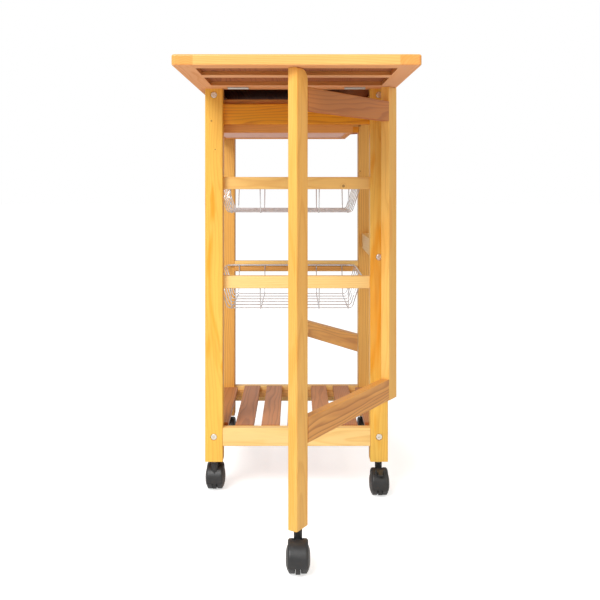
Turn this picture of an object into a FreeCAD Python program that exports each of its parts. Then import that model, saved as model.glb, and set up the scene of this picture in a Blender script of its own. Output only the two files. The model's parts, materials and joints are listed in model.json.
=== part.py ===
"""Rolling pine kitchen table with a drop leaf at each end, held up by hinged gate legs.

Millimetres. X runs from the open user side (-X) to the back (+X), Y along the top, Z up.
The origin is the centre of the footprint, on the floor. The leaves are raised and the gates are open.
"""

import FreeCAD, Part
import math
import os

V = FreeCAD.Vector
os.makedirs("parts", exist_ok=True)

# ---- driving dimensions -------------------------------------------------------------------
TOP_Z = 770.0  # working surface above the floor
TOP_T = 17.0  # thickness of the top's frame
BOARD_T = 10.0  # thickness of the boards inside the frame, flush with the surface
TOP_HALF_X = 185.0
TOP_HALF_Y = 181.0  # main top, between the two leaf joints
JOINT_GAP = 2.0  # between the main top and a leaf
LEAF_LENGTH = 301.0
FRAME_W = 32.0  # width of the top's frame members
LEAF_HINGE_RAIL_W = 36.0  # the leaf rail that the hinges are screwed to
BATTEN_W = 29.0
BATTEN_FROM_JOINT = 166.0  # joint to the middle of a leaf's batten
BOARD_COUNT = 7

LEG = 33.0  # square section of the four legs
LEG_OUT_X = 170.0  # outer faces of the legs
LEG_OUT_Y = 165.0
LEG_BOTTOM = 60.0

RAIL_T = 18.0
APRON_Z = (688.0, 726.0)
UPPER_RAIL_Z = (566.0, 589.0)
LOWER_RAIL_Z = (380.0, 403.0)
END_RAIL_Z = (89.0, 122.5)
BOTTOM_SIDE_RAIL_Z = (84.0, 113.5)
BACK_RAIL_Z = (432.0, 465.5)
BACK_TOP_RAIL_Z = (716.0, 753.0)
DRAWER_TOP_RAIL_Z = (738.5, 753.0)
BOLT_Z = (106.0, 741.5)
MIDDLE_BOLT_Z = 440.0

SLAT_W = 34.5
SLAT_T = 10.0
SLAT_PITCH = 49.0
SLAT_COUNT = 7  # the outermost two lie on the side rails, between the legs
SLAT_TOP_Z = 123.5

DRAWER_Z = (673.0, 736.0)
DRAWER_X = (-155.0, 107.0)
DRAWER_HALF_Y = 131.0
DRAWER_WALL = 10.0
DRAWER_FRONT_T = 15.0
DRAWER_FLOOR_Z = (675.5, 679.5)
DRAWER_SLOT = 4.0  # depth of the slot round the floor, in the walls
GROOVE_Z = (699.5, 709.5)
GROOVE_DEPTH = 4.5

BASKET_X = -13.0  # centre of both baskets
BASKET_RIM_HALF = (141.0, 128.5)
BASKET_FLOOR_HALF = (120.0, 98.5)
BASKET_RIM_Z = (580.0, 394.5)
BASKET_DEPTH = 60.0
RIM_R = 2.5
WIRE_R = 1.4
WELD = 0.3  # how far a wire sinks into the rim that it is welded to

GATE_PIN = (171.0, -165.5)  # hinge line of the front gate
GATE_LENGTH = 350.0  # hinge line to the far edge of the outer leg
GATE_OPEN_DEG = 58.1  # from closed, as it stands
GATE_T = 16.5
GATE_RAIL_T = 15.0
GATE_GAP = 0.5  # hinge line to the gate's inner face
GATE_TOP_Z = 752.5
GATE_TOP_RAIL_Z = (690.0, 726.0)
GATE_LOW_RAIL_Z = (184.0, 222.5)
GATE_STILE_BOTTOM = 184.0

WHEEL_R = 22.0
CASTOR_TRAIL = 16.0
HOOD_R = 26.5
HOOD_T = 3.0
HOOD_HALF_W = 15.5
STEM_R = 4.0
AXLE_R = 3.0
RUN_CLEAR = 0.06  # running clearance of a shaft in its hole

# ---- worked out from them -----------------------------------------------------------------
UNDER_Z = TOP_Z - TOP_T
LEG_X = LEG_OUT_X - LEG / 2
LEG_Y = LEG_OUT_Y - LEG / 2
LEG_IN_X = LEG_OUT_X - LEG
LEG_IN_Y = LEG_OUT_Y - LEG
JOINT_Y = TOP_HALF_Y + JOINT_GAP / 2
LEAF_IN_Y = TOP_HALF_Y + JOINT_GAP
LEAF_OUT_Y = LEAF_IN_Y + LEAF_LENGTH
SIDE_RAIL_X = (LEG_X - RAIL_T / 2, LEG_X + RAIL_T / 2)


# ---- shape helpers ------------------------------------------------------------------------
def block(x, y, z):
    """A box between the pairs x, y and z, given in either order."""
    low = V(min(x), min(y), min(z))
    size = [abs(p[1] - p[0]) for p in (x, y, z)]
    return Part.makeBox(*size, low)


def rod(start, end, radius):
    """A round bar from one point to another."""
    run = end.sub(start)
    return Part.makeCylinder(radius, run.Length, start, run)


def edges_along(shape, axis, where=lambda c: True):
    """Straight edges parallel to an axis whose middle passes a test."""
    found = []
    for edge in shape.Edges:
        along = edge.lastVertex().Point.sub(edge.firstVertex().Point)
        if along.Length > 0 and abs(along.normalize().dot(axis)) > 0.999 and where(edge.CenterOfMass):
            found.append(edge)
    return found


def board(x, y, z, ease=1.5):
    """A planed board with the four long edges eased."""
    shape = block(x, y, z)
    size = [abs(p[1] - p[0]) for p in (x, y, z)]
    axis = [V(1, 0, 0), V(0, 1, 0), V(0, 0, 1)][size.index(max(size))]
    return shape.makeFillet(ease, edges_along(shape, axis))


def front_and_back(shape):
    """The shape and its mirror image across the middle of the table."""
    return [shape, mirrored(shape)]


def mirrored(shape):
    return shape.mirror(V(0, 0, 0), V(0, 1, 0))


def turned(shapes, point, degrees):
    """Copies turned about the vertical line through a point."""
    out = []
    for shape in shapes:
        copy = shape.copy()
        copy.rotate(V(point[0], point[1], 0), V(0, 0, 1), degrees)
        out.append(copy)
    return out


def save(name, shapes):
    """One file for one sub-part, holding one or more separate solids."""
    solids = [solid for shape in shapes for solid in shape.Solids]
    for solid in solids:
        if not solid.isValid() or solid.Volume <= 0:
            raise ValueError(f"{name} holds a bad solid")
    Part.Compound(solids).exportStep(f"parts/{name}.step")


# ---- hinges -------------------------------------------------------------------------------
HINGE_PLATE_T = 1.2
HINGE_BARREL_R = 2.5
HINGE_PIN_R = 1.25
HINGE_NOTCH_R = 2.9
HINGE_WIDTH = 14.0
KNUCKLES = 5
KNUCKLE_GAP = 0.35


def hinge_half(length, moving, offset):
    """One half of a butt hinge, standing on the origin with its pin along +Z.

    The plate lies between x = -offset and -offset + its thickness, and reaches along +Y, or -Y if moving.
    The moving half carries the pin and the even knuckles.
    """
    side = -1 if moving else 1
    step = length / KNUCKLES
    plate_x = (-offset, HINGE_PLATE_T - offset)
    shape = block(plate_x, (side * (HINGE_BARREL_R + 0.5), side * HINGE_WIDTH), (0, length))
    shape = shape.makeFillet(2.0, edges_along(shape, V(1, 0, 0), lambda c: abs(c.y) > HINGE_WIDTH - 1))
    for n in range(KNUCKLES):
        if (n % 2 == 1) != moving:
            continue
        low = n * step + (KNUCKLE_GAP / 2 if n else 0)
        high = (n + 1) * step - (KNUCKLE_GAP / 2 if n < KNUCKLES - 1 else 0)
        knuckle = Part.makeCylinder(HINGE_BARREL_R, high - low, V(0, 0, low))
        tab = block(plate_x, (0, side * (HINGE_BARREL_R + 1.5)), (low, high))
        shape = shape.fuse(knuckle).fuse(tab)
    if moving:
        return shape.fuse(Part.makeCylinder(HINGE_PIN_R, length)).removeSplitter()
    return shape.cut(Part.makeCylinder(HINGE_PIN_R + RUN_CLEAR, length)).removeSplitter()


GATE_HINGE_LENGTH = 50.0
GATE_HINGE_Z = (255.0, 620.0)
LEAF_HINGE_LENGTH = 38.0
LEAF_HINGE_X = (-107.0, 107.0)
LEAF_PIN_BELOW = 1.0  # hinge line below the underside of the top


def gate_hinges(moving):
    halves = []
    for z in GATE_HINGE_Z:
        half = hinge_half(GATE_HINGE_LENGTH, moving, GATE_PIN[0] - LEG_OUT_X)
        half.translate(V(GATE_PIN[0], GATE_PIN[1], z))
        halves.append(half)
    return halves


def gate_hinge_notches():
    """The hollows that the gate hinges' barrels lie in."""
    return [
        Part.makeCylinder(HINGE_NOTCH_R, GATE_HINGE_LENGTH + 2, V(GATE_PIN[0], GATE_PIN[1], z - 1))
        for z in GATE_HINGE_Z
    ]


def leaf_hinges(moving):
    """Hinges under the front joint. The fixed half is under the main top."""
    halves = []
    for x in LEAF_HINGE_X:
        half = hinge_half(LEAF_HINGE_LENGTH, moving, HINGE_PLATE_T - LEAF_PIN_BELOW)
        # X and Z change places, so the pin lies along X and the plate lies against the wood above
        half.rotate(V(0, 0, 0), V(0, 1, 0), 90)
        half = half.mirror(V(0, 0, 0), V(0, 0, 1))
        half.translate(V(x - LEAF_HINGE_LENGTH / 2, -JOINT_Y, UNDER_Z - LEAF_PIN_BELOW))
        halves.append(half)
    return halves


def leaf_hinge_notches():
    return [
        rod(
            V(x - LEAF_HINGE_LENGTH / 2 - 1, -JOINT_Y, UNDER_Z - LEAF_PIN_BELOW),
            V(x + LEAF_HINGE_LENGTH / 2 + 1, -JOINT_Y, UNDER_Z - LEAF_PIN_BELOW),
            HINGE_NOTCH_R,
        )
        for x in LEAF_HINGE_X
    ]


def cut_all(shape, tools):
    for tool in tools:
        shape = shape.cut(tool)
    return shape


# ---- bolts --------------------------------------------------------------------------------
BOLT_R = 3.0
BOLT_HEAD_R = 6.0
BOLT_HEAD_T = 3.5
BOLT_RECESS = 0.4  # the head lies this far below the leg's face, so that a gate closes flat
BOLT_LENGTH = 62.0
NUT_R = 5.0
NUT_LENGTH = 13.0
NUT_DEPTH = 50.0  # leg's outer face to the barrel nut's axis
HEX_KEY = 4.0


def bolt_places():
    """(x, z) of every bolt in one end frame."""
    places = [(side * LEG_X, z) for side in (-1, 1) for z in BOLT_Z]
    return places + [(LEG_X, MIDDLE_BOLT_Z)]


def bolt(x, z):
    """A domed connector bolt whose head faces -Y, with a hexagonal socket."""
    face = -LEG_OUT_Y + BOLT_RECESS
    head = rod(V(x, face, z), V(x, face + BOLT_HEAD_T, z), BOLT_HEAD_R)
    rim = [e for e in head.Edges if e.Curve.TypeId == "Part::GeomCircle" and e.CenterOfMass.y < face + 0.1]
    head = head.makeFillet(1.4, rim)
    socket = Part.makePolygon(
        [
            V(x + HEX_KEY / math.sqrt(3) * math.cos(a), face - 1, z + HEX_KEY / math.sqrt(3) * math.sin(a))
            for a in [math.radians(60 * n) for n in range(7)]
        ]
    )
    socket = Part.Face(socket).extrude(V(0, 3.2, 0))
    shank = rod(V(x, face + 1, z), V(x, face + BOLT_LENGTH, z), BOLT_R)
    return head.fuse(shank).cut(socket).removeSplitter()


def barrel_nut(x, z):
    y = -LEG_OUT_Y + NUT_DEPTH
    nut = rod(V(x - NUT_LENGTH / 2, y, z), V(x + NUT_LENGTH / 2, y, z), NUT_R)
    return nut.cut(rod(V(x, y - 10, z), V(x, y + 10, z), BOLT_R + RUN_CLEAR))


def bolt_holes():
    """Everything that is drilled out for the front frame's bolts and nuts."""
    holes = []
    for x, z in bolt_places():
        holes.append(rod(V(x, -LEG_OUT_Y - 1, z), V(x, -LEG_OUT_Y + BOLT_LENGTH + 2, z), BOLT_R + 0.2))
        seat = BOLT_HEAD_T + BOLT_RECESS
        holes.append(rod(V(x, -LEG_OUT_Y - 1, z), V(x, -LEG_OUT_Y + seat, z), BOLT_HEAD_R + 0.3))
        y = -LEG_OUT_Y + NUT_DEPTH
        holes.append(rod(V(x - NUT_LENGTH, y, z), V(x + NUT_LENGTH / 2 + 0.2, y, z), NUT_R + 0.1))
    return holes


# ---- legs and rails -----------------------------------------------------------------------
STEM_HOLE = 34.0
COLLAR_R = 5.5


def leg(side):
    """A front leg on the left (-1) or right (+1)."""
    x = (side * LEG_IN_X, side * LEG_OUT_X)
    shape = board(x, (-LEG_IN_Y, -LEG_OUT_Y), (LEG_BOTTOM, UNDER_Z), 2.0)
    stem = Part.makeCylinder(STEM_R + 0.1, STEM_HOLE, V(side * LEG_X, -LEG_Y, LEG_BOTTOM))
    shape = cut_all(shape, bolt_holes() + [stem])
    if side > 0:
        shape = cut_all(shape, gate_hinge_notches())
    return shape


def make_legs():
    for side, name in ((-1, "left"), (1, "right")):
        one = leg(side)
        save(f"leg_front_{name}", [one])
        save(f"leg_rear_{name}", [mirrored(one)])


def cross_rail(z, outer_y):
    """A rail between the left and right legs of the front frame."""
    return board((-LEG_IN_X, LEG_IN_X), (-outer_y, -outer_y + RAIL_T), z)


def side_rail(side, z):
    """A rail along Y, bolted between a front leg and a rear leg."""
    x = [side * v for v in SIDE_RAIL_X]
    shape = board(x, (-LEG_IN_Y, LEG_IN_Y), z)
    holes = bolt_holes()
    return cut_all(shape, holes + [mirrored(h) for h in holes])


def make_rails():
    inner = LEG_IN_Y + RAIL_T
    save("drawer_aprons", front_and_back(cross_rail(APRON_Z, inner)))
    save("upper_basket_rails", front_and_back(cross_rail(UPPER_RAIL_Z, inner)))
    save("lower_basket_rails", front_and_back(cross_rail(LOWER_RAIL_Z, inner)))
    save("bottom_end_rails", front_and_back(cross_rail(END_RAIL_Z, LEG_OUT_Y)))
    save("bottom_side_rails", [side_rail(side, BOTTOM_SIDE_RAIL_Z) for side in (-1, 1)])
    save("back_rails", [side_rail(1, BACK_RAIL_Z), side_rail(1, BACK_TOP_RAIL_Z)])
    save("drawer_top_rail", [side_rail(-1, DRAWER_TOP_RAIL_Z)])


def make_bolts():
    bolts = [bolt(x, z) for x, z in bolt_places()]
    nuts = [barrel_nut(x, z) for x, z in bolt_places()]
    save("frame_bolts", bolts + [mirrored(b) for b in bolts])
    save("barrel_nuts", nuts + [mirrored(n) for n in nuts])


# ---- shelf --------------------------------------------------------------------------------
LEDGER_W = 14.0
LEDGER_H = 12.0
SLAT_END_GAP = 0.5  # between an outermost slat and a leg


def make_shelf():
    end = LEG_OUT_Y - RAIL_T
    z = (SLAT_TOP_Z - SLAT_T, SLAT_TOP_Z)
    slats = []
    for n in range(SLAT_COUNT):
        x = (n - (SLAT_COUNT - 1) / 2) * SLAT_PITCH
        y = end if 0 < n < SLAT_COUNT - 1 else LEG_IN_Y - SLAT_END_GAP
        slats.append(board((x - SLAT_W / 2, x + SLAT_W / 2), (-y, y), z, 1.2))
    save("shelf_slats", slats)
    ledger = board((-LEG_IN_X, LEG_IN_X), (-end, -end + LEDGER_W), (z[0] - LEDGER_H, z[0]), 1.0)
    save("shelf_ledgers", front_and_back(ledger))


# ---- top and leaves -----------------------------------------------------------------------
def slab(y_in, y_out, rounded_out):
    """A slab of the top from y_in to y_out, with rounded sides and, on a leaf, rounded outer corners."""
    shape = block((-TOP_HALF_X, TOP_HALF_X), (y_in, y_out), (UNDER_Z, TOP_Z))
    if rounded_out:
        corners = edges_along(shape, V(0, 0, 1), lambda c: abs(c.y - y_out) < 1)
        shape = shape.makeFillet(6.0, corners)
    rims = [
        e
        for e in shape.Edges
        if abs(e.firstVertex().Point.z - e.lastVertex().Point.z) < 0.01
        and (abs(e.CenterOfMass.x) > TOP_HALF_X - 5 or (rounded_out and abs(e.CenterOfMass.y - y_out) < 5))
    ]
    return shape.makeFillet(3.0, rims)


def boards(y_low, y_high):
    """Glued boards along Y that fill the frame, flush with the surface."""
    half = TOP_HALF_X - FRAME_W
    width = 2 * half / BOARD_COUNT
    made = []
    for n in range(BOARD_COUNT):
        x = -half + n * width
        one = block((x, x + width), (y_low, y_high), (TOP_Z - BOARD_T, TOP_Z))
        top_edges = edges_along(one, V(0, 1, 0), lambda c: c.z > TOP_Z - 1)
        made.append(one.makeChamfer(0.5, top_edges))
    return made


def frame_members(shape, y_low, y_high, low_w, high_w, extra=()):
    """Cuts a slab into two full-length side pieces and the rails between them."""
    inner_x = TOP_HALF_X - FRAME_W
    z = (UNDER_Z, TOP_Z)
    y = (y_low, y_high)
    boxes = [
        block((-TOP_HALF_X, -inner_x), y, z),
        block((inner_x, TOP_HALF_X), y, z),
        block((-inner_x, inner_x), (y_low, y_low + low_w), z),
        block((-inner_x, inner_x), (y_high - high_w, y_high), z),
    ]
    return [shape.common(b) for b in boxes] + list(extra)


def make_top():
    notches = leaf_hinge_notches()
    whole = slab(-TOP_HALF_Y, TOP_HALF_Y, False)
    whole = cut_all(whole, notches + [mirrored(n) for n in notches])
    save("top_frame", frame_members(whole, -TOP_HALF_Y, TOP_HALF_Y, FRAME_W, FRAME_W))
    save("top_boards", boards(-TOP_HALF_Y + FRAME_W, TOP_HALF_Y - FRAME_W))
    fixed = leaf_hinges(False)
    save("top_hinge_plates", fixed + [mirrored(h) for h in fixed])


def make_leaves():
    whole = cut_all(slab(-LEAF_IN_Y, -LEAF_OUT_Y, True), leaf_hinge_notches())
    middle = -LEAF_IN_Y - BATTEN_FROM_JOINT + JOINT_GAP / 2
    inner_x = TOP_HALF_X - FRAME_W
    batten = board(
        (-inner_x, inner_x),
        (middle - BATTEN_W / 2, middle + BATTEN_W / 2),
        (UNDER_Z, TOP_Z - BOARD_T),
        1.0,
    )
    members = frame_members(whole, -LEAF_OUT_Y, -LEAF_IN_Y, FRAME_W, LEAF_HINGE_RAIL_W, [batten])
    filling = boards(-LEAF_OUT_Y + FRAME_W, -LEAF_IN_Y - LEAF_HINGE_RAIL_W)
    plates = leaf_hinges(True)
    for name, shapes in (("frame", members), ("boards", filling), ("hinge_plates", plates)):
        save(f"front_leaf_{name}", shapes)
        save(f"rear_leaf_{name}", [mirrored(s) for s in shapes])


# ---- gates --------------------------------------------------------------------------------
def make_gates():
    inner_face = GATE_PIN[1] - GATE_GAP
    y = (inner_face - GATE_T, inner_face)
    rail_y = (y[0], y[0] + GATE_RAIL_T)
    far = GATE_PIN[0] - GATE_LENGTH
    stile_x = (LEG_OUT_X - LEG, LEG_OUT_X)
    stile = board(stile_x, y, (GATE_STILE_BOTTOM, GATE_TOP_Z), 2.0)
    stile = cut_all(stile, gate_hinge_notches())
    outer = block((far, far + LEG), y, (LEG_BOTTOM, GATE_TOP_Z))
    shoulder = edges_along(outer, V(0, 1, 0), lambda c: c.z > GATE_TOP_Z - 1 and c.x > far + 1)
    outer = outer.makeFillet(17.0, shoulder)
    outer = outer.makeFillet(2.5, edges_along(outer, V(0, 0, 1)))
    castor_x = far + LEG / 2
    castor_y = inner_face - GATE_T / 2
    outer = outer.cut(Part.makeCylinder(STEM_R + 0.1, STEM_HOLE, V(castor_x, castor_y, LEG_BOTTOM)))
    rails = [board((far + LEG, stile_x[0]), rail_y, z, 1.5) for z in (GATE_TOP_RAIL_Z, GATE_LOW_RAIL_Z)]
    parts = {
        "stile": [stile],
        "outer_leg": [outer],
        "rails": rails,
        "hinge_plates": gate_hinges(True),
        "castor_stem": [castor_stem(castor_x, castor_y)],
    }
    for name, shapes in parts.items():
        opened = turned(shapes, GATE_PIN, GATE_OPEN_DEG)
        save(f"front_gate_{name}", opened)
        save(f"rear_gate_{name}", [mirrored(s) for s in opened])
    fixed = gate_hinges(False)
    save("leg_hinge_plates", fixed + [mirrored(h) for h in fixed])


def gate_castor_place():
    """Where the front gate's castor swivels, with the gate open."""
    x = -GATE_LENGTH + LEG / 2
    y = -GATE_GAP - GATE_T / 2
    a = math.radians(GATE_OPEN_DEG)
    return (
        GATE_PIN[0] + x * math.cos(a) - y * math.sin(a),
        GATE_PIN[1] + x * math.sin(a) + y * math.cos(a),
    )


# ---- drawer -------------------------------------------------------------------------------
KNOB_R = 11.0
KNOB_REACH = 12.0


def make_drawer():
    z, wall = DRAWER_Z, DRAWER_WALL
    side = board(DRAWER_X, (-DRAWER_HALF_Y, -DRAWER_HALF_Y + wall), z, 1.0)
    groove_x = (DRAWER_X[0] + 5, DRAWER_X[1] + 1)
    groove = block(groove_x, (-DRAWER_HALF_Y - 1, -DRAWER_HALF_Y + GROOVE_DEPTH), GROOVE_Z)
    inner = DRAWER_HALF_Y - wall
    inner_x = DRAWER_X[1] - wall
    slot_y = inner + DRAWER_SLOT
    slot = block((DRAWER_X[0] - 1, inner_x + DRAWER_SLOT), (-slot_y, slot_y), DRAWER_FLOOR_Z)
    side = side.cut(groove).cut(slot)
    back = board((inner_x, DRAWER_X[1]), (-inner, inner), z, 1.0).cut(slot)
    save("drawer_box", front_and_back(side) + [back])
    floor_y = slot_y - 0.2
    save("drawer_floor", [block((DRAWER_X[0], inner_x + DRAWER_SLOT - 0.2), (-floor_y, floor_y), DRAWER_FLOOR_Z)])
    front_x = (DRAWER_X[0] - DRAWER_FRONT_T, DRAWER_X[0])
    front = board(front_x, (-DRAWER_HALF_Y, DRAWER_HALF_Y), z, 2.0)
    middle = V(front_x[0], 0, (z[0] + z[1]) / 2)
    screw_hole = rod(middle, middle.add(V(DRAWER_FRONT_T, 0, 0)), 2.1)
    save("drawer_front", [front.cut(screw_hole)])
    save("drawer_knob", [knob(middle)])


def knob(middle):
    """A turned wooden knob, round about X, with the screw that holds it from inside."""
    profile = Part.BSplineCurve()
    reach = KNOB_REACH
    outline = [
        V(0, 6.5, 0),
        V(-reach * 0.35, 5.5, 0),
        V(-reach * 0.6, KNOB_R, 0),
        V(-reach * 0.9, KNOB_R * 0.8, 0),
        V(-reach, 0, 0),
    ]
    profile.interpolate(outline)
    ends = [Part.makeLine(outline[-1], V(0, 0, 0)), Part.makeLine(V(0, 0, 0), outline[0])]
    face = Part.Face(Part.Wire([profile.toShape()] + ends))
    turned_knob = face.revolve(V(0, 0, 0), V(1, 0, 0), 360)
    screw = rod(V(-reach / 2, 0, 0), V(DRAWER_FRONT_T, 0, 0), 2.0)
    head = rod(V(DRAWER_FRONT_T, 0, 0), V(DRAWER_FRONT_T + 2, 0, 0), 4.0)
    shape = turned_knob.fuse(screw).fuse(head)
    shape.translate(middle)
    return shape


LEDGE_W = 4.8  # how far a basket ledge stands out of its rail
LEDGE_H = 9.0
LEDGE_CLEAR = 0.3  # under the rim that slides on it
RUNNER_CLEAR = 0.5  # round a runner in its groove
RUNNER_START_X = -148.0


def make_runners():
    """Strips that the drawer hangs on, and ledges that the baskets slide on."""
    reach = GROOVE_DEPTH - RUNNER_CLEAR
    z = (GROOVE_Z[0] + RUNNER_CLEAR, GROOVE_Z[1] - RUNNER_CLEAR)
    y = (-LEG_IN_Y, -DRAWER_HALF_Y + reach)
    save("drawer_runners", front_and_back(block((RUNNER_START_X, LEG_IN_X), y, z)))
    ledges = []
    for rim_z in BASKET_RIM_Z:
        top = rim_z - RIM_R - LEDGE_CLEAR
        y = (-LEG_IN_Y, -LEG_IN_Y + LEDGE_W)
        ledges += front_and_back(board((-LEG_IN_X, LEG_IN_X), y, (top - LEDGE_H, top), 0.8))
    save("basket_runners", ledges)


# ---- baskets ------------------------------------------------------------------------------
RIB_X = (-113.0, -56.5, 0.0, 56.5, 113.0)
LONG_Y = (-98.5, -59.1, -19.7, 19.7, 59.1, 98.5)


def wire_run(points, radius):
    """Straight wires from point to point, each its own solid."""
    return [rod(a, b, radius) for a, b in zip(points, points[1:])]


def basket(rim_z):
    """(rim wires, basket wires) of one basket."""
    rx, ry = BASKET_RIM_HALF
    fx, fy = BASKET_FLOOR_HALF
    low = rim_z - BASKET_DEPTH
    corners = [V(BASKET_X + sx * rx, sy * ry, rim_z) for sx, sy in ((-1, -1), (1, -1), (1, 1), (-1, 1), (-1, -1))]
    rim = wire_run(corners, RIM_R)
    ix, iy = (half - RIM_R - WIRE_R + WELD for half in (rx, ry))
    wires = []
    for x in RIB_X:
        at = BASKET_X + x
        points = [V(at, -iy, rim_z), V(at, -fy, low), V(at, fy, low), V(at, iy, rim_z)]
        wires += wire_run(points, WIRE_R)
    raised = low + 2 * WIRE_R
    for y in LONG_Y:
        points = [V(BASKET_X - ix, y, rim_z), V(BASKET_X - fx, y, raised), V(BASKET_X + fx, y, raised)]
        wires += wire_run(points + [V(BASKET_X + ix, y, rim_z)], WIRE_R)
    return rim, wires


def make_baskets():
    for name, rim_z in zip(("upper", "lower"), BASKET_RIM_Z):
        rim, wires = basket(rim_z)
        save(f"{name}_basket_rim", rim)
        save(f"{name}_basket_wires", wires)


# ---- castors ------------------------------------------------------------------------------
WEB_HALF_W = 3.6
WHEEL_IN = 4.2
WHEEL_OUT = 18.3
BOSS_R = 6.5
BOSS_BOTTOM = 30.0
LEG_BOSS_TOP = 54.5
GATE_BOSS_TOP = 58.0
HOOD_FROM_DEG = -13.0  # on the stem's side, from level with the axle
HOOD_TO_DEG = 193.0  # round over the top and down the far side
HOOD_NOTCH_HALF_W = 12.0  # of the V that shows the stem's socket
HOOD_NOTCH_Z = (12.0, 30.0)  # its point and its mouth, above the axle
PEDAL_PIN = (-31.5, 47.6)
PEDAL_W = 12.0
PEDAL_TIP_W = 7.0
PEDAL_REACH = 15.0
PEDAL_T = 2.8
PEDAL_TILT_DEG = 16.0  # how far the pedal slopes down, off the brake
PEDAL_PIN_R = 1.2
EAR_R = 3.0


def wheel(side):
    """A wheel about the X axis, with a domed outer face and a plain bore."""
    bore = AXLE_R + RUN_CLEAR
    points = [
        V(WHEEL_IN, bore, 0),
        V(WHEEL_IN, WHEEL_R - 1, 0),
        V(WHEEL_IN + 1, WHEEL_R, 0),
        V(WHEEL_OUT - 5.5, WHEEL_R, 0),
    ]
    dome = Part.Arc(points[-1], V(WHEEL_OUT - 1.2, WHEEL_R * 0.62, 0), V(WHEEL_OUT, 5.0, 0))
    back = [V(WHEEL_OUT, 5.0, 0), V(WHEEL_OUT, bore, 0), points[0]]
    wire = Part.Wire(
        [Part.makeLine(a, b) for a, b in zip(points, points[1:])]
        + [dome.toShape()]
        + [Part.makeLine(a, b) for a, b in zip(back, back[1:])]
    )
    shape = Part.Face(wire).revolve(V(0, 0, 0), V(1, 0, 0), 360)
    if side < 0:
        shape = shape.mirror(V(0, 0, 0), V(1, 0, 0))
    return shape


def hood(boss_top, with_ears):
    """The castor's cover, centre web, stem socket and axle, about an axle on the X axis."""
    arc = HOOD_TO_DEG - HOOD_FROM_DEG
    outer = Part.makeCylinder(HOOD_R, 2 * HOOD_HALF_W, V(-HOOD_HALF_W, 0, 0), V(1, 0, 0), 360)
    outer = outer.makeFillet(4.0, [e for e in outer.Edges if e.Curve.TypeId == "Part::GeomCircle"])
    outer = outer.cut(Part.makeCylinder(HOOD_R - HOOD_T, 4 * HOOD_HALF_W, V(-2 * HOOD_HALF_W, 0, 0), V(1, 0, 0)))
    wedge = Part.Face(
        Part.makePolygon(
            [V(0, 0, 0)]
            + [
                V(0, 60 * math.cos(a), 60 * math.sin(a))
                for a in [math.radians(HOOD_FROM_DEG + arc * n / 6) for n in range(7)]
            ]
            + [V(0, 0, 0)]
        )
    ).extrude(V(80, 0, 0))
    wedge.translate(V(-40, 0, 0))
    notch = Part.makePolygon(
        [
            V(-HOOD_NOTCH_HALF_W, 0, HOOD_NOTCH_Z[1]),
            V(HOOD_NOTCH_HALF_W, 0, HOOD_NOTCH_Z[1]),
            V(0, 0, HOOD_NOTCH_Z[0]),
            V(-HOOD_NOTCH_HALF_W, 0, HOOD_NOTCH_Z[1]),
        ]
    )
    notch = Part.Face(notch).extrude(V(0, HOOD_R, 0))
    shape = outer.common(wedge).cut(notch)
    web = Part.makeCylinder(HOOD_R - 1, 2 * WEB_HALF_W, V(-WEB_HALF_W, 0, 0), V(1, 0, 0))
    web = web.cut(block((-20, 20), (-60, 60), (-60, -WHEEL_R + 5)))
    boss = Part.makeCylinder(BOSS_R, boss_top - BOSS_BOTTOM, V(0, CASTOR_TRAIL, BOSS_BOTTOM - WHEEL_R))
    inside = Part.makeCylinder(HOOD_R - HOOD_T, 20, V(WEB_HALF_W, 0, 0), V(1, 0, 0))
    boss = boss.cut(inside).cut(inside.mirror(V(0, 0, 0), V(1, 0, 0)))
    shape = shape.fuse(web).fuse(boss)
    if with_ears:
        y, z = PEDAL_PIN[0] + CASTOR_TRAIL, PEDAL_PIN[1] - WHEEL_R
        for side in (-1, 1):
            x = (side * (PEDAL_W / 2 + 0.4), side * (PEDAL_W / 2 + 2.9))
            shape = shape.fuse(rod(V(x[0], y, z), V(x[1], y, z), EAR_R))
            shape = shape.fuse(block(x, (y - EAR_R, y + EAR_R), (z - 2.5 * EAR_R, z)))
        shape = shape.fuse(rod(V(-PEDAL_W / 2 - 1, y, z), V(PEDAL_W / 2 + 1, y, z), PEDAL_PIN_R))
    shape = shape.cut(Part.makeCylinder(STEM_R + RUN_CLEAR, 60, V(0, CASTOR_TRAIL, BOSS_BOTTOM - WHEEL_R + 4)))
    axle = rod(V(-WHEEL_OUT + 0.5, 0, 0), V(WHEEL_OUT - 0.5, 0, 0), AXLE_R)
    return shape.fuse(axle).removeSplitter()


def pedal():
    """A brake lever that pivots on the hood's ears and is pushed down at its outer end."""
    y, z = PEDAL_PIN[0] + CASTOR_TRAIL, PEDAL_PIN[1] - WHEEL_R
    sleeve = rod(V(-PEDAL_W / 2, y, z), V(PEDAL_W / 2, y, z), 2.6)
    half, tip = PEDAL_W / 2, PEDAL_TIP_W / 2
    outline = [V(-half, y, z), V(half, y, z), V(tip, y - PEDAL_REACH, z), V(-tip, y - PEDAL_REACH, z)]
    plate = Part.Face(Part.makePolygon(outline + outline[:1])).extrude(V(0, 0, PEDAL_T))
    plate = plate.makeFillet(2.0, edges_along(plate, V(0, 0, 1), lambda c: c.y < y - 5))
    plate.rotate(V(0, y, z), V(1, 0, 0), PEDAL_TILT_DEG)
    shape = sleeve.fuse(plate).cut(rod(V(-PEDAL_W, y, z), V(PEDAL_W, y, z), PEDAL_PIN_R + RUN_CLEAR))
    return shape.removeSplitter()


def castor_stem(x, y):
    """The steel stem of a castor, fixed in a leg, with a collar against the leg's end."""
    low = BOSS_BOTTOM + 4.5
    stem = Part.makeCylinder(STEM_R, LEG_BOTTOM + STEM_HOLE - 1 - low, V(x, y, low))
    collar_bottom = GATE_BOSS_TOP + 0.4
    collar = Part.makeCylinder(COLLAR_R, LEG_BOTTOM - collar_bottom, V(x, y, collar_bottom))
    return stem.fuse(collar).removeSplitter()


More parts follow.
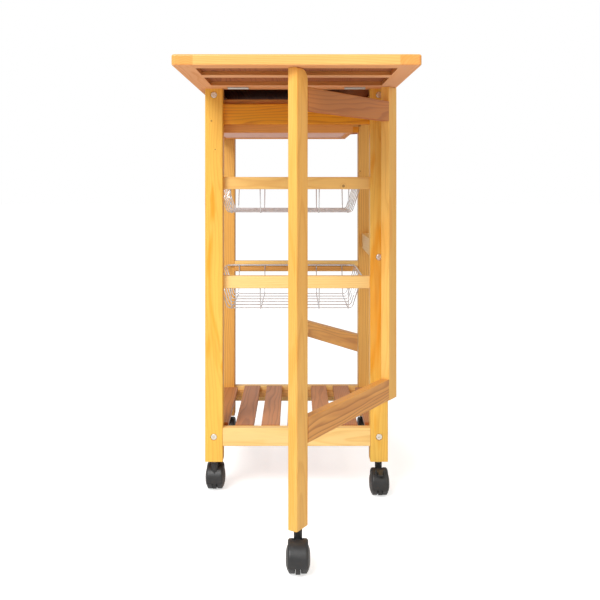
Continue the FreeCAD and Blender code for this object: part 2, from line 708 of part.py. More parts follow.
# name, place of the swivel, direction that it trails in (degrees from -Y, anticlockwise), brake, top of boss
CASTORS = (
    ("front_left", (-LEG_X, -LEG_Y), 180.0, False, LEG_BOSS_TOP),
    ("front_right", (LEG_X, -LEG_Y), 0.0, True, LEG_BOSS_TOP),
    ("rear_left", (-LEG_X, LEG_Y), 180.0, False, LEG_BOSS_TOP),
    ("rear_right", (LEG_X, LEG_Y), 180.0, True, LEG_BOSS_TOP),
    ("front_gate", gate_castor_place(), 0.0, False, GATE_BOSS_TOP),
    ("rear_gate", (gate_castor_place()[0], -gate_castor_place()[1]), 180.0, False, GATE_BOSS_TOP),
)


def make_castors():
    for name, place, trail, braked, boss_top in CASTORS:
        shift = V(place[0], place[1] - CASTOR_TRAIL, WHEEL_R)
        sets = {"hood": [hood(boss_top, braked)], "wheels": [wheel(-1), wheel(1)]}
        if braked:
            sets["brake"] = [pedal()]
        for part, shapes in sets.items():
            for shape in shapes:
                shape.translate(shift)
            save(f"castor_{name}_{part}", turned(shapes, place, trail))
    save("castor_stems", [castor_stem(sx * LEG_X, sy * LEG_Y) for sx in (-1, 1) for sy in (-1, 1)])


make_legs()
make_rails()
make_bolts()
make_shelf()
make_top()
make_leaves()
make_gates()
make_drawer()
make_runners()
make_baskets()
make_castors()
print(len(os.listdir("parts")), "sub-parts")
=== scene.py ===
"""Looks for a rolling pine kitchen table with two raised drop leaves on gate legs."""

import json
import math
import random

import bmesh
import bpy
from mathutils import Matrix, Vector


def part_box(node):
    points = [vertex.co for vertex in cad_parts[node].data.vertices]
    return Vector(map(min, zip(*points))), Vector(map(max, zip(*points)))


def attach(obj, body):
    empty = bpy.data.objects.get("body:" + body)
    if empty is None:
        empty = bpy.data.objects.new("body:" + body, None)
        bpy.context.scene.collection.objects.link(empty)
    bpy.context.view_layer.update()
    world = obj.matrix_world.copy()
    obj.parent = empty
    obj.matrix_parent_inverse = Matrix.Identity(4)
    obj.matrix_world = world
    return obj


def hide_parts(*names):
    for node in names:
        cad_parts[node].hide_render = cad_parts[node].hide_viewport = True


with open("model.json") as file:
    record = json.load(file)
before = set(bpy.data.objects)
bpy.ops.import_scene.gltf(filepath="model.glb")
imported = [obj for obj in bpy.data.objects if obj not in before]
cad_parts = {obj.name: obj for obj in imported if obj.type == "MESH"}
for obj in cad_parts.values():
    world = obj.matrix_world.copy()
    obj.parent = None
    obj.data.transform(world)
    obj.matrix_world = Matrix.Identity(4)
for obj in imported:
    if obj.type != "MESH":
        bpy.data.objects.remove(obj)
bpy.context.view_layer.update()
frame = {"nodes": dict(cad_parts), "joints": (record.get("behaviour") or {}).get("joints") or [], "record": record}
NODES = frame["nodes"]
BODY_OF = {n: b for b, names in frame["record"]["behaviour"]["bodies"].items() for n in names}
JOINTS = {j["name"]: j for j in frame["joints"]}

# ---- camera, light and floor ---------------------------------------------------------------
EYE = (0.0, -1.706, 0.588)
LENS = 49.8
VIEW_SHIFT = (0.0058, -0.2042)
WORLD_STRENGTH = 0.55
KEY_WATTS = 98
FILL_WATTS = 15
FLOOR_HALF = 16
FLOOR_PALE = 0.75
FLOOR_GLOW = 0.62
FLOOR_BOUNCE = 0.8
BOUNCE_Z = -0.002
DOME_RADIUS = 30
MATTE = 0.9


def make_camera():
    data = bpy.data.cameras.new("camera")
    data.lens = LENS
    data.sensor_width = 36
    data.shift_x, data.shift_y = VIEW_SHIFT
    data.dof.use_dof = False
    camera = bpy.data.objects.new("camera", data)
    camera.location = EYE
    camera.rotation_euler = (math.radians(90), 0, 0)
    bpy.context.scene.collection.objects.link(camera)
    bpy.context.scene.camera = camera


def area_light(name, at, target, size, watts, colour=(1, 1, 1)):
    data = bpy.data.lights.new(name, "AREA")
    data.shape = "DISK"
    data.size = size
    data.energy = watts
    data.color = colour
    light = bpy.data.objects.new(name, data)
    light.location = at
    light.rotation_euler = (Vector(target) - Vector(at)).to_track_quat("-Z", "Y").to_euler()
    bpy.context.scene.collection.objects.link(light)


def seen_by(thing, camera, light):
    """Whether the camera sees a stage piece, and whether its light reaches the table."""
    thing.visible_camera = camera
    thing.visible_diffuse = thing.visible_glossy = thing.visible_transmission = light
    thing.visible_shadow = False


def flat_square(name, half, z, material):
    mesh = bpy.data.meshes.new(name)
    corners = [(-half, -half, z), (half, -half, z), (half, half, z), (-half, half, z)]
    mesh.from_pydata(corners, [], [(0, 1, 2, 3)])
    square = bpy.data.objects.new(name, mesh)
    bpy.context.scene.collection.objects.link(square)
    mesh.materials.append(material)
    return square


def make_backdrop():
    """A white dome round the whole studio, behind everything."""
    bm = bmesh.new()
    bmesh.ops.create_icosphere(bm, subdivisions=4, radius=DOME_RADIUS)
    mesh = bpy.data.meshes.new("backdrop")
    bm.to_mesh(mesh)
    bm.free()
    dome = bpy.data.objects.new("backdrop", mesh)
    bpy.context.scene.collection.objects.link(dome)
    mesh.materials.append(glowing("backdrop_white", 0.0, 1.0))
    seen_by(dome, camera=True, light=False)


def make_studio():
    """A pale floor in a white room. A duller sheet just under the floor gives the light thrown up from it."""
    world = bpy.data.worlds.new("studio")
    bpy.context.scene.world = world
    world.use_nodes = True
    world.node_tree.nodes["Background"].inputs["Color"].default_value = (1, 1, 1, 1)
    world.node_tree.nodes["Background"].inputs["Strength"].default_value = WORLD_STRENGTH
    bpy.context.scene.view_settings.view_transform = "Standard"
    area_light("key", (-1.3, -2.5, 2.5), (0, -0.1, 0.45), 1.8, KEY_WATTS, (0.98, 0.98, 0.98))
    area_light("front_fill", (2.1, -2.2, 1.9), (0, 0, 0.4), 1.6, FILL_WATTS, (1.0, 0.78, 0.45))
    make_backdrop()
    floor = flat_square("floor", FLOOR_HALF, 0.0, glowing("floor_white", FLOOR_PALE, FLOOR_GLOW))
    seen_by(floor, camera=True, light=False)
    dull = plain("floor_dull", (FLOOR_BOUNCE,) * 3, MATTE)
    bounce = flat_square("floor_bounce", FLOOR_HALF, BOUNCE_Z, dull)
    seen_by(bounce, camera=False, light=True)


# ---- material helpers ----------------------------------------------------------------------
def new_material(name):
    material = bpy.data.materials.new(name)
    material.use_nodes = True
    return material, material.node_tree, material.node_tree.nodes["Principled BSDF"]


def rgba(colour):
    return (*colour, 1.0)


def plain(name, colour, roughness):
    material, _, shader = new_material(name)
    shader.inputs["Base Color"].default_value = rgba(colour)
    shader.inputs["Roughness"].default_value = roughness
    return material


def glowing(name, pale, glow):
    """A white surface for the stage that also gives off a little light, so that it stays white."""
    material, _, shader = new_material(name)
    shader.inputs["Base Color"].default_value = rgba((pale,) * 3)
    shader.inputs["Roughness"].default_value = MATTE
    shader.inputs["Specular IOR Level"].default_value = 0.0
    shader.inputs["Emission Color"].default_value = rgba((1, 1, 1))
    shader.inputs["Emission Strength"].default_value = glow
    return material


class Graph:
    """A short way to write node graphs."""

    def __init__(self, tree):
        self.tree = tree

    def node(self, kind, **settings):
        node = self.tree.nodes.new(kind)
        for key, value in settings.items():
            setattr(node, key, value)
        return node

    def put(self, value, socket):
        if isinstance(value, bpy.types.NodeSocket):
            self.tree.links.new(value, socket)
        else:
            socket.default_value = value

    def math(self, operation, a, b=0.0, c=0.0):
        node = self.node("ShaderNodeMath", operation=operation)
        for value, socket in zip((a, b, c), node.inputs):
            self.put(value, socket)
        return node.outputs[0]

    def noise(self, vector, scale, detail=3.0, roughness=0.55, distortion=0.0):
        node = self.node("ShaderNodeTexNoise")
        self.put(vector, node.inputs["Vector"])
        node.inputs["Scale"].default_value = scale
        node.inputs["Detail"].default_value = detail
        node.inputs["Roughness"].default_value = roughness
        node.inputs["Distortion"].default_value = distortion
        return node.outputs["Fac"]

    def ramp(self, value, stops, ease="LINEAR"):
        node = self.node("ShaderNodeValToRGB")
        node.color_ramp.interpolation = ease
        elements = node.color_ramp.elements
        while len(elements) < len(stops):
            elements.new(0.5)
        for element, (place, colour) in zip(elements, stops):
            element.position = place
            element.color = rgba(colour) if len(colour) == 3 else colour
        self.put(value, node.inputs["Fac"])
        return node.outputs["Color"]

    def mix(self, factor, a, b, blend="MIX"):
        node = self.node("ShaderNodeMix", data_type="RGBA", blend_type=blend)
        self.put(factor, node.inputs["Factor"])
        self.put(a, node.inputs["A"])
        self.put(b, node.inputs["B"])
        return node.outputs["Result"]

    def range(self, value, low, high, to_low, to_high):
        node = self.node("ShaderNodeMapRange")
        for given, socket in zip((value, low, high, to_low, to_high), node.inputs):
            self.put(given, socket)
        return node.outputs[0]

    def bump(self, height, strength, distance):
        node = self.node("ShaderNodeBump")
        node.inputs["Strength"].default_value = strength
        node.inputs["Distance"].default_value = distance
        self.put(height, node.inputs["Height"])
        return node.outputs["Normal"]


# ---- pine ----------------------------------------------------------------------------------
# Each solid of a wooden node gets its own place in the log: "grain" holds metres along the grain and
# across it from the tree's centre, and "tone" a shade of its own, which on the gate rails is set by height as
# painted shade. On faces, "end" is 1 where the grain is cut, a mask is 1 where the face looks down, and "inner"
# is 1 on the sides of the openings under the top and leaves. Both of these masks carry painted shade: their tints
# are chosen to darken such faces as if in shadow. Faces that look down are also rougher, as unlacquered wood,
# which is a guess.
RING = 0.0036
PITH_REACH = (0.020, 0.045)  # from a piece's middle to the centre of the tree
GRAIN_LEAN = 0.035
LOG_LENGTH = 9
SHADOWED_ABOVE = {"front_gate_rails": 0.5, "rear_gate_rails": 0.5}  # the rail above this height gets the darker tone: painted shade, for the leaf's shadow on it
DARK_SHADE, LIGHT_SHADE = 1.0, 0.1
FACES_ALONG = 0.7  # how much of a face's direction has to lie along an axis
FACES_SIDEWAYS = 0.3
DRIFT_SHIFT = 0.020  # how far the rings wander
KNOT_REACH = 3.2  # how far a knot bends the rings, in its own radii
KNOT_BULGE = 0.008
DRIFT = (2.2, 14.0)  # scales of a pattern along and across the grain
FLAME = (4.5, 38.0)
FIBRE = (14.0, 900.0)
# Frames whose inner side faces get painted shade, for the shadow inside the openings under the top and leaves:
SHADED_INSIDE = ("top_frame", "front_leaf_frame", "rear_leaf_frame")
EDGE_BAND = 0.006  # a face nearer than this to the node's own outer edge is an outer one
KNOT_TINT = (0.20, 0.075, 0.02)
END_TINT = (0.90, 0.62, 0.36)
# Painted shade on faces that look down, as if in shadow:
UNDERSIDE_SHADE_TINT = (0.92, 0.80, 1.25)
# Painted shade on the sides of the openings under the top and leaves, as if in shadow:
INNER_SHADE_TINT = (0.62, 0.42, 0.30)


def islands(mesh):
    """The vertices of each separate solid.

    Faces are joined through their own vertices, and along an edge that exactly two of them have in one place.
    An edge where two solids touch has more than two, and joins nothing.
    """
    parent = list(range(len(mesh.vertices)))

    def root(v):
        while parent[v] != v:
            parent[v] = parent[parent[v]]
            v = parent[v]
        return v

    place = [tuple(round(c, 6) for c in v.co) for v in mesh.vertices]
    users = {}
    for face in mesh.polygons:
        corners = list(face.vertices)
        for a, b in zip(corners, corners[1:] + corners[:1]):
            parent[root(a)] = root(b)
            users.setdefault(frozenset((place[a], place[b])), []).append(a)
    for pair in users.values():
        if len(pair) == 2:
            parent[root(pair[0])] = root(pair[1])
    groups = {}
    for v in range(len(place)):
        groups.setdefault(root(v), []).append(v)
    return sorted(groups.values(), key=lambda group: min(place[v] for v in group))


def give_grain(node, turn=0.0):
    """Writes the grain, tone and end attributes, and the masks for painted shade on faces that look down and on
    inner faces.

    turn is how far the node stands turned about Z, in degrees.
    """
    mesh = NODES[node].data
    straighten = Matrix.Rotation(math.radians(-turn), 3, "Z")
    local = [straighten @ v.co for v in mesh.vertices]
    grain = [0.0] * (3 * len(local))
    tone = [0.0] * len(local)
    along_axis = [0] * len(local)
    for number, group in enumerate(islands(mesh)):
        dice = random.Random(f"{node}:{number}")
        low = [min(local[v][k] for v in group) for k in range(3)]
        high = [max(local[v][k] for v in group) for k in range(3)]
        size = [h - l for h, l in zip(high, low)]
        u = size.index(max(size))
        across = [k for k in range(3) if k != u]
        reach = dice.uniform(*PITH_REACH)
        turned = dice.uniform(0, 2 * math.pi)
        pith = (reach * math.cos(turned), reach * math.sin(turned))
        lean = (dice.uniform(-GRAIN_LEAN, GRAIN_LEAN), dice.uniform(-GRAIN_LEAN, GRAIN_LEAN))
        start = dice.uniform(0, LOG_LENGTH)
        shade = dice.random()
        # The upper gate rail takes the darker tone: painted shade, for the leaf's shadow on it.
        if node in SHADOWED_ABOVE:
            shade = DARK_SHADE if low[2] > SHADOWED_ABOVE[node] else LIGHT_SHADE
        for v in group:
            run = local[v][u] - low[u]
            grain[3 * v] = run + start
            for k in (0, 1):
                middle = (low[across[k]] + high[across[k]]) / 2
                sideways = local[v][across[k]] - middle
                grain[3 * v + 1 + k] = sideways - pith[k] + lean[k] * (run - size[u] / 2)
            tone[v] = shade
            along_axis[v] = u
    mesh.attributes.new("grain", "FLOAT_VECTOR", "POINT").data.foreach_set("vector", grain)
    mesh.attributes.new("tone", "FLOAT", "POINT").data.foreach_set("value", tone)
    box_low, box_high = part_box(node)
    ends, undersides, inners = [], [], []
    for face in mesh.polygons:
        normal = straighten @ face.normal
        depth = min(min(face.center[k] - box_low[k], box_high[k] - face.center[k]) for k in (0, 1))
        inner = node in SHADED_INSIDE and depth > EDGE_BAND and abs(normal.z) < FACES_SIDEWAYS
        inners.append(float(inner))
        ends.append(float(abs(normal[along_axis[face.vertices[0]]]) > FACES_ALONG))
        undersides.append(float(normal.z < -FACES_ALONG))
    for name, values in (("end", ends), ("underside", undersides), ("inner", inners)):
        mesh.attributes.new(name, "FLOAT", "FACE").data.foreach_set("value", values)


def attribute(graph, name, output):
    return graph.node("ShaderNodeAttribute", attribute_name=name).outputs[output]


def stretched(graph, axes, scales):
    """The place in the log, scaled along the grain and across it."""
    along, across = scales
    place = graph.node("ShaderNodeCombineXYZ")
    for axis, scale, socket in zip(axes, (along, across, across), place.inputs):
        graph.put(graph.math("MULTIPLY", axis, scale), socket)
    return place.outputs[0]


def pine(name, pale, dark, tint, contrast=0.5, roughness=0.38, knots=(), flames=0.5):
    """Lacquered pine.

    pale and dark are its early and late wood, tint a warmer shade that some boards lean to, and flames how
    strongly that shade also shows in long patches.

    knots are (place, radius) in metres where a branch shows on a face.
    """
    material, tree, shader = new_material(name)
    g = Graph(tree)
    grain = attribute(g, "grain", "Vector")
    split = g.node("ShaderNodeSeparateXYZ")
    g.put(grain, split.inputs[0])
    u, v, w = split.outputs
    slow = stretched(g, (u, v, w), DRIFT)
    drift = g.noise(slow, 1.6, 2.0, 0.5)
    around = g.math("SQRT", g.math("ADD", g.math("MULTIPLY", v, v), g.math("MULTIPLY", w, w)))
    distance = g.math("ADD", around, g.math("MULTIPLY", g.math("SUBTRACT", drift, 0.5), DRIFT_SHIFT))
    knot_mask = None
    if knots:
        place = g.node("ShaderNodeTexCoord").outputs["Object"]
        for at, radius in knots:
            away = g.node("ShaderNodeVectorMath", operation="DISTANCE")
            g.put(place, away.inputs[0])
            away.inputs[1].default_value = at
            near = g.range(away.outputs["Value"], radius * KNOT_REACH, 0.0, 0.0, 1.0)
            distance = g.math("ADD", distance, g.math("MULTIPLY", g.math("POWER", near, 2.0), KNOT_BULGE))
            spot = g.range(away.outputs["Value"], radius, radius * 0.55, 0.0, 1.0)
            knot_mask = spot if knot_mask is None else g.math("MAXIMUM", knot_mask, spot)
    rings = g.math("FRACT", g.math("DIVIDE", distance, RING))
    late = g.ramp(rings, [(0.0, (0, 0, 0)), (0.45, (0.12,) * 3), (0.86, (1, 1, 1)), (1.0, (0, 0, 0))], "EASE")
    fibre = g.noise(stretched(g, (u, v, w), FIBRE), 1.0, 3.0, 0.6)
    cloud = g.noise(slow, 0.9, 3.0, 0.6)
    flame = g.range(g.noise(stretched(g, (u, v, w), FLAME), 1.0, 2.0, 0.5, 0.6), 0.48, 0.62, 0.0, 1.0)
    ring_strength = g.math("MULTIPLY", late, g.range(cloud, 0.3, 0.7, contrast * 0.55, contrast))
    wood = g.mix(ring_strength, rgba(pale), rgba(dark))
    own_shade = g.math("MULTIPLY", attribute(g, "tone", "Fac"), 0.65)
    lean = g.math("MAXIMUM", own_shade, g.math("MULTIPLY", flame, flames))
    wood = g.mix(lean, wood, g.mix(ring_strength, rgba(tint), rgba(dark)))
    wood = g.mix(g.range(cloud, 0.35, 0.75, 0.0, 0.30), wood, g.mix(1.0, wood, rgba(tint), "MULTIPLY"))
    streak = g.range(fibre, 0.35, 0.75, 0.95, 1.04)
    wood = g.mix(1.0, wood, streak, "MULTIPLY")
    end = attribute(g, "end", "Fac")
    wood = g.mix(g.math("MULTIPLY", end, 0.75), wood, g.mix(1.0, wood, rgba(END_TINT), "MULTIPLY"))
    if knot_mask is not None:
        wood = g.mix(g.math("MULTIPLY", knot_mask, 0.65), wood, rgba(KNOT_TINT))
    # Painted shade: faces that look down are tinted darker, as if in shadow. Their greater roughness below is for
    # unlacquered wood.
    underside = attribute(g, "underside", "Fac")
    wood = g.mix(g.math("MULTIPLY", underside, 0.8), wood, g.mix(1.0, wood, rgba(UNDERSIDE_SHADE_TINT), "MULTIPLY"))
    # Painted shade: the inner sides of the openings are tinted darker, as if in shadow.
    inner = attribute(g, "inner", "Fac")
    wood = g.mix(inner, wood, g.mix(1.0, wood, rgba(INNER_SHADE_TINT), "MULTIPLY"))
    g.put(wood, shader.inputs["Base Color"])
    sheen = g.range(fibre, 0.3, 0.7, roughness - 0.04, roughness + 0.07)
    g.put(g.math("MAXIMUM", sheen, g.math("MULTIPLY", underside, 0.9)), shader.inputs["Roughness"])
    height = g.math("ADD", g.math("MULTIPLY", late, 0.35), g.math("MULTIPLY", fibre, 0.65))
    g.put(g.bump(height, 0.25, 0.00025), shader.inputs["Normal"])
    return material


# ---- metal and plastic ---------------------------------------------------------------------
SPECK, HAZE = 900.0, 60.0  # scales of the patterns on metal
PEBBLE, SCUFF = 1500.0, 90.0  # and on plastic


def metal(name, colour, roughness, spread=0.08, metallic=1.0):
    material, tree, shader = new_material(name)
    g = Graph(tree)
    place = g.node("ShaderNodeTexCoord").outputs["Object"]
    speck = g.noise(place, SPECK, 2.0)
    haze = g.noise(place, HAZE, 2.0)
    shaded = g.mix(g.range(haze, 0.35, 0.7, 0.0, 0.35), rgba(colour), rgba([c * 0.78 for c in colour]))
    g.put(shaded, shader.inputs["Base Color"])
    shader.inputs["Metallic"].default_value = metallic
    g.put(g.range(speck, 0.3, 0.7, roughness, roughness + spread), shader.inputs["Roughness"])
    g.put(g.bump(speck, 0.08, 0.0001), shader.inputs["Normal"])
    return material


def plastic(name, colour, roughness, grain_strength):
    material, tree, shader = new_material(name)
    g = Graph(tree)
    place = g.node("ShaderNodeTexCoord").outputs["Object"]
    pebble = g.noise(place, PEBBLE, 2.0)
    scuff = g.noise(place, SCUFF, 4.0, 0.65)
    worn = g.mix(g.range(scuff, 0.5, 0.8, 0.0, 0.5), rgba(colour), rgba([c * 1.8 + 0.01 for c in colour]))
    g.put(worn, shader.inputs["Base Color"])
    g.put(g.range(scuff, 0.3, 0.8, roughness, roughness + 0.15), shader.inputs["Roughness"])
    g.put(g.bump(pebble, grain_strength, 0.0002), shader.inputs["Normal"])
    return material


# ---- wires ---------------------------------------------------------------------------------
# The radii are chosen. The CAD wires and rim are thicker, 1.4 and 2.5 mm.
WIRE_R = 0.0010
RIM_R = 0.0019
BEND = 0.007
RIM_BEND = 0.016
WIRE_SIDES = 10


def rounded(points, radius, closed=False, steps=6):
    """The points of a path with its corners rounded to a radius."""
    count = len(points)
    path = []
    for n, at in enumerate(points):
        if not closed and n in (0, count - 1):
            path.append(at)
            continue
        back = (points[n - 1] - at).normalized()
        on = (points[(n + 1) % count] - at).normalized()
        half = back.angle(on) / 2
        cut = radius / math.tan(half)
        centre = at + (back + on).normalized() * (radius / math.sin(half))
        first, last = at + back * cut, at + on * cut
        for k in range(steps + 1):
            t = k / steps
            chord = first.lerp(last, t)
            path.append(centre + (chord - centre).normalized() * radius)
    return path


def tube(bm, path, radius, closed=False):
    """A round wire along a path, with its ends closed."""
    count = len(path)
    rings = []
    side = None
    for n, at in enumerate(path):
        if closed:
            run = (path[(n + 1) % count] - path[n - 1]).normalized()
        else:
            run = (path[min(n + 1, count - 1)] - path[max(n - 1, 0)]).normalized()
        if side is None:
            side = run.orthogonal()
        side = (side - run * side.dot(run)).normalized()
        other = run.cross(side)
        ring = []
        for k in range(WIRE_SIDES):
            a = 2 * math.pi * k / WIRE_SIDES
            ring.append(bm.verts.new(at + radius * (side * math.cos(a) + other * math.sin(a))))
        rings.append(ring)
    pairs = list(zip(rings, rings[1:])) + ([(rings[-1], rings[0])] if closed else [])
    for a, b in pairs:
        for k in range(WIRE_SIDES):
            bm.faces.new((a[k], a[(k + 1) % WIRE_SIDES], b[(k + 1) % WIRE_SIDES], b[k]))
    if not closed:
        bm.faces.new(list(reversed(rings[0])))
        bm.faces.new(rings[-1])


def finish_mesh(bm, name, body, material, smooth=True):
    """Makes a piece of a bmesh, rides it on a body and gives it its material."""
    bmesh.ops.recalc_face_normals(bm, faces=bm.faces)
    mesh = bpy.data.meshes.new(name)
    bm.to_mesh(mesh)
    bm.free()
    if smooth:
        mesh.polygons.foreach_set("use_smooth", [True] * len(mesh.polygons))
    piece = bpy.data.objects.new(name, mesh)
    bpy.context.scene.collection.objects.link(piece)
    piece.data.materials.append(material)
    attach(piece, body)
    return piece


WELD = 0.0003  # how far two wires sink into each other where they are welded
FLOOR_IN = (0.021, 0.030)  # how much smaller the basket's floor is than its rim, each side
RIB_X = (-0.113, -0.0565, 0.0, 0.0565, 0.113)
LONG_Y = (-0.0985, -0.0591, -0.0197, 0.0197, 0.0591, 0.0985)


def make_basket(level, material):
    """The bent rim and wires of one basket, worked out from its CAD rim and wires."""
    low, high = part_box(f"{level}_basket_rim")
    wires_low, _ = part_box(f"{level}_basket_wires")
    x0, x1, y0, y1 = low.x + RIM_R, high.x - RIM_R, low.y + RIM_R, high.y - RIM_R
    z = (low.z + high.z) / 2
    floor_z = wires_low.z + WIRE_R
    bm = bmesh.new()
    corners = [Vector((x0, y0, z)), Vector((x1, y0, z)), Vector((x1, y1, z)), Vector((x0, y1, z))]
    tube(bm, rounded(corners, RIM_BEND, closed=True), RIM_R, closed=True)
    rim = finish_mesh(bm, f"{level}_basket_bent_rim", f"{level}_basket", material)
    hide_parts(f"{level}_basket_rim")

    bm = bmesh.new()
    middle = (x0 + x1) / 2
    inset = RIM_R + WIRE_R - WELD
    for x in RIB_X:
        at = middle + x
        points = [
            Vector((at, y0 + inset, z)),
            Vector((at, y0 + FLOOR_IN[1], floor_z)),
            Vector((at, y1 - FLOOR_IN[1], floor_z)),
            Vector((at, y1 - inset, z)),
        ]
        tube(bm, rounded(points, BEND), WIRE_R)
    raised = floor_z + 2 * WIRE_R - WELD
    for y in LONG_Y:
        points = [
            Vector((x0 + inset, y, z)),
            Vector((x0 + FLOOR_IN[0], y, raised)),
            Vector((x1 - FLOOR_IN[0], y, raised)),
            Vector((x1 - inset, y, z)),
        ]
        tube(bm, rounded(points, BEND), WIRE_R)
    wires = finish_mesh(bm, f"{level}_basket_bent_wires", f"{level}_basket", material)
    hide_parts(f"{level}_basket_wires")


# ---- small screws --------------------------------------------------------------------------
SCREW_R = 0.0024
SCREW_DOME = 0.0006
CROSS_ARM, CROSS_HALF, CROSS_TAPER = 0.62, 0.15, 0.8  # of the head's radius, and of the recess at its bottom
RECESS_Z, SKIRT_Z = -0.0003, -0.0004
LEAF_HINGE_LENGTH = 0.038
SCREW_FIRST, SCREW_STEP = 0.17, 0.33  # places along a hinge, as parts of its length
SCREW_INSETS = (0.0105, 0.0075, 0.0105)  # from the hinge's pin
SCREW_SINK = 0.0002


def screw_head(bm, at, normal, turn):
    """A countersunk screw head with a cross recess, standing just proud of its plate."""
    normal = Vector(normal).normalized()
    side = normal.orthogonal().normalized()
    side.rotate(Matrix.Rotation(turn, 3, normal))
    other = normal.cross(side)
    arm, half = SCREW_R * CROSS_ARM, SCREW_R * CROSS_HALF
    cross = [(half, half), (half, arm), (-half, arm), (-half, half), (-arm, half), (-arm, -half),
             (-half, -half), (-half, -arm), (half, -arm), (half, -half), (arm, -half), (arm, half)]

    def vert(a, b, height):
        return bm.verts.new(Vector(at) + side * a + other * b + normal * height)

    outer, edge, upper, lower = [], [], [], []
    for a, b in cross:
        angle = math.atan2(b, a)
        for ring, radius, height in ((outer, SCREW_R, SKIRT_Z), (edge, SCREW_R * 0.9, SCREW_DOME * 0.6)):
            ring.append(vert(radius * math.cos(angle), radius * math.sin(angle), height))
        upper.append(vert(a, b, SCREW_DOME))
        lower.append(vert(a * CROSS_TAPER, b * CROSS_TAPER, RECESS_Z))
    count = len(cross)
    for inner, beyond in ((edge, outer), (upper, edge), (lower, upper)):
        for k in range(count):
            bm.faces.new((inner[k], inner[(k + 1) % count], beyond[(k + 1) % count], beyond[k]))
    bm.faces.new(lower)
    bm.faces.new(list(reversed(outer)))


def make_leaf_hinge_screws(material):
    """Three screws in each half of each leaf hinge, seen from below."""
    for end, side in (("front", -1), ("rear", 1)):
        low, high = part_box(f"{end}_leaf_hinge_plates")
        pin = JOINTS[f"{end}_leaf_lift"]["pos_m"]
        starts = (low.x, high.x - LEAF_HINGE_LENGTH)
        for body, direction in ((f"{end}_leaf", side), ("frame", -side)):
            bm = bmesh.new()
            for start in starts:
                for n, inset in enumerate(SCREW_INSETS):
                    x = start + LEAF_HINGE_LENGTH * (SCREW_FIRST + SCREW_STEP * n)
                    at = (x, pin[1] + direction * inset, pin[2] - SCREW_SINK)
                    screw_head(bm, at, (0, 0, -1), 0.7 * n + x * 90)
            finish_mesh(bm, f"{end}_{body}_hinge_screws", body, material, smooth=False)


# ---- everything together -------------------------------------------------------------------
GATE_TURN = 58.1
KNOTS_ON_UPPER_RAIL = (((0.088, -0.150, 0.572), 0.0035),)
KNOTS_ON_LEG = (
    ((-0.158, -0.165, 0.693), 0.0022),
    ((-0.151, -0.165, 0.640), 0.0016),
    ((0.140, 0.132, 0.703), 0.0035),
    ((0.141, 0.132, 0.602), 0.0020),
)


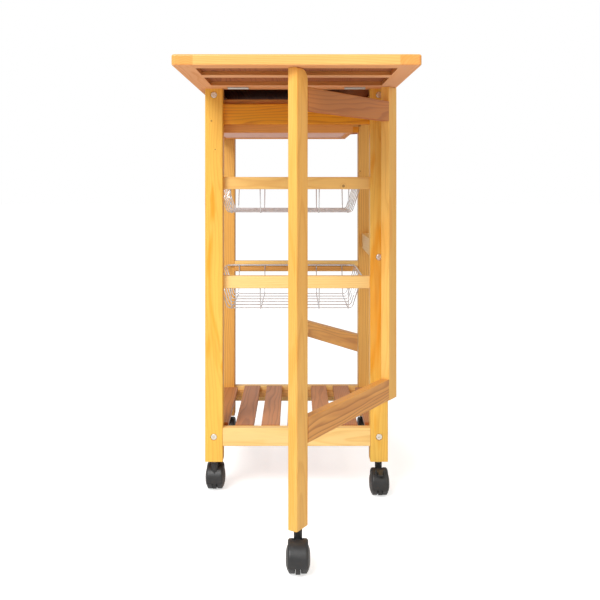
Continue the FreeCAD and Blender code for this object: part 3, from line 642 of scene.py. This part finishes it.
def wood_for_nodes():
    """node: (material, turn about Z)."""
    # Each kind of part has its own pine. Besides the wood's own colour, these colours hold some painted light and
    # shade; the plainest cases are noted below.
    leg = pine("leg_pine", (0.94, 0.67, 0.145), (0.66, 0.28, 0.02), (0.86, 0.40, 0.018), 0.38,
               knots=KNOTS_ON_LEG, flames=1.0)
    # The rear legs get a darker copy of the leg pine: painted shade, for the rear of the table under the top.
    rear_leg = pine("rear_leg_painted_shade_pine", (0.86, 0.53, 0.14), (0.50, 0.20, 0.03), (0.78, 0.38, 0.06), 0.8,
                    knots=KNOTS_ON_LEG, flames=0.2)
    apron = pine("apron_pine", (0.93, 0.45, 0.006), (0.55, 0.17, 0.002), (0.82, 0.31, 0.003), 0.7)
    # The upper rails are a darker, oranger copy of the lower rails' pine: painted shade, for the leaf's shadow on
    # them.
    upper = pine("upper_rail_pine", (0.94, 0.69, 0.25), (0.70, 0.32, 0.06), (0.88, 0.48, 0.12), 0.5,
                 knots=KNOTS_ON_UPPER_RAIL)
    lower = pine("lower_rail_pine", (0.94, 0.72, 0.34), (0.82, 0.48, 0.12), (0.92, 0.62, 0.20), 0.45)
    rail = pine("rail_pine", (0.94, 0.69, 0.29), (0.76, 0.42, 0.09), (0.90, 0.56, 0.17), 0.45)
    slat = pine("slat_pine", (0.62, 0.27, 0.105), (0.26, 0.085, 0.03), (0.42, 0.155, 0.055), 0.6)
    top = pine("top_pine", (0.93, 0.58, 0.235), (0.74, 0.33, 0.06), (0.90, 0.46, 0.10), 0.55, roughness=0.30)
    # The boards' dark colour is partly their own darker wood and partly painted shade, for the shadow on their
    # undersides; their tops get it too.
    boards = pine("board_pine", (0.48, 0.175, 0.036), (0.23, 0.060, 0.008), (0.36, 0.115, 0.018), 0.65)
    gate = pine("gate_pine", (0.93, 0.61, 0.165), (0.70, 0.33, 0.035), (0.88, 0.41, 0.045), 0.42, flames=0.6)
    # The dark tint here is painted shade: the upper gate rail leans to it for the leaf's shadow.
    gate_rail = pine("gate_rail_pine", (0.92, 0.47, 0.105), (0.34, 0.075, 0.005), (0.42, 0.085, 0.003), 0.6,
                     flames=0.3)
    drawer = pine("drawer_pine", (0.86, 0.44, 0.11), (0.55, 0.20, 0.03), (0.78, 0.35, 0.07), 0.55)
    ply = pine("drawer_floor_ply", (0.93, 0.72, 0.46), (0.70, 0.46, 0.26), (0.88, 0.63, 0.38), 0.3)
    runner = pine("runner_pine", (0.80, 0.44, 0.13), (0.50, 0.22, 0.05), (0.70, 0.35, 0.08), 0.5)
    table = {
        "leg_pine": leg, "apron_pine": apron, "upper_rail_pine": upper, "lower_rail_pine": lower,
        "rail_pine": rail, "slat_pine": slat, "top_pine": top, "board_pine": boards,
        "gate_pine": gate, "gate_rail_pine": gate_rail, "drawer_pine": drawer,
        "drawer_floor_ply": ply, "runner_pine": runner,
    }
    turns = {"front_gate": GATE_TURN, "rear_gate": -GATE_TURN}
    wood = {}
    for part in frame["record"]["subparts"]:
        node, slot = part["node"], part["material_slot"]
        if slot in table:
            material = rear_leg if node.startswith("leg_rear") else table[slot]
            wood[node] = (material, turns.get(BODY_OF[node], 0.0))
    return wood


def set_material(node, material):
    data = NODES[node].data
    data.materials.clear()
    data.materials.append(material)


def dress_nodes():
    for node, (material, turn) in wood_for_nodes().items():
        give_grain(node, turn)
        set_material(node, material)
    zinc = metal("zinc_steel", (0.58, 0.57, 0.54), 0.28)
    bolt = metal("bolt_steel", (0.90, 0.86, 0.76), 0.22, metallic=0.75)
    chrome = metal("chrome_wire", (0.80, 0.84, 0.90), 0.20, 0.06, metallic=0.6)
    hood = plastic("castor_plastic", (0.025, 0.025, 0.026), 0.34, 0.12)
    tread = plastic("wheel_plastic", (0.052, 0.052, 0.054), 0.30, 0.06)
    others = {
        "zinc_steel": zinc, "bolt_steel": bolt, "chrome_wire": chrome,
        "castor_plastic": hood, "wheel_plastic": tread,
    }
    for p in frame["record"]["subparts"]:
        if p["material_slot"] in others:
            set_material(p["node"], others[p["material_slot"]])
    for level in ("upper", "lower"):
        make_basket(level, chrome)
    make_leaf_hinge_screws(zinc)


make_camera()
make_studio()
dress_nodes()
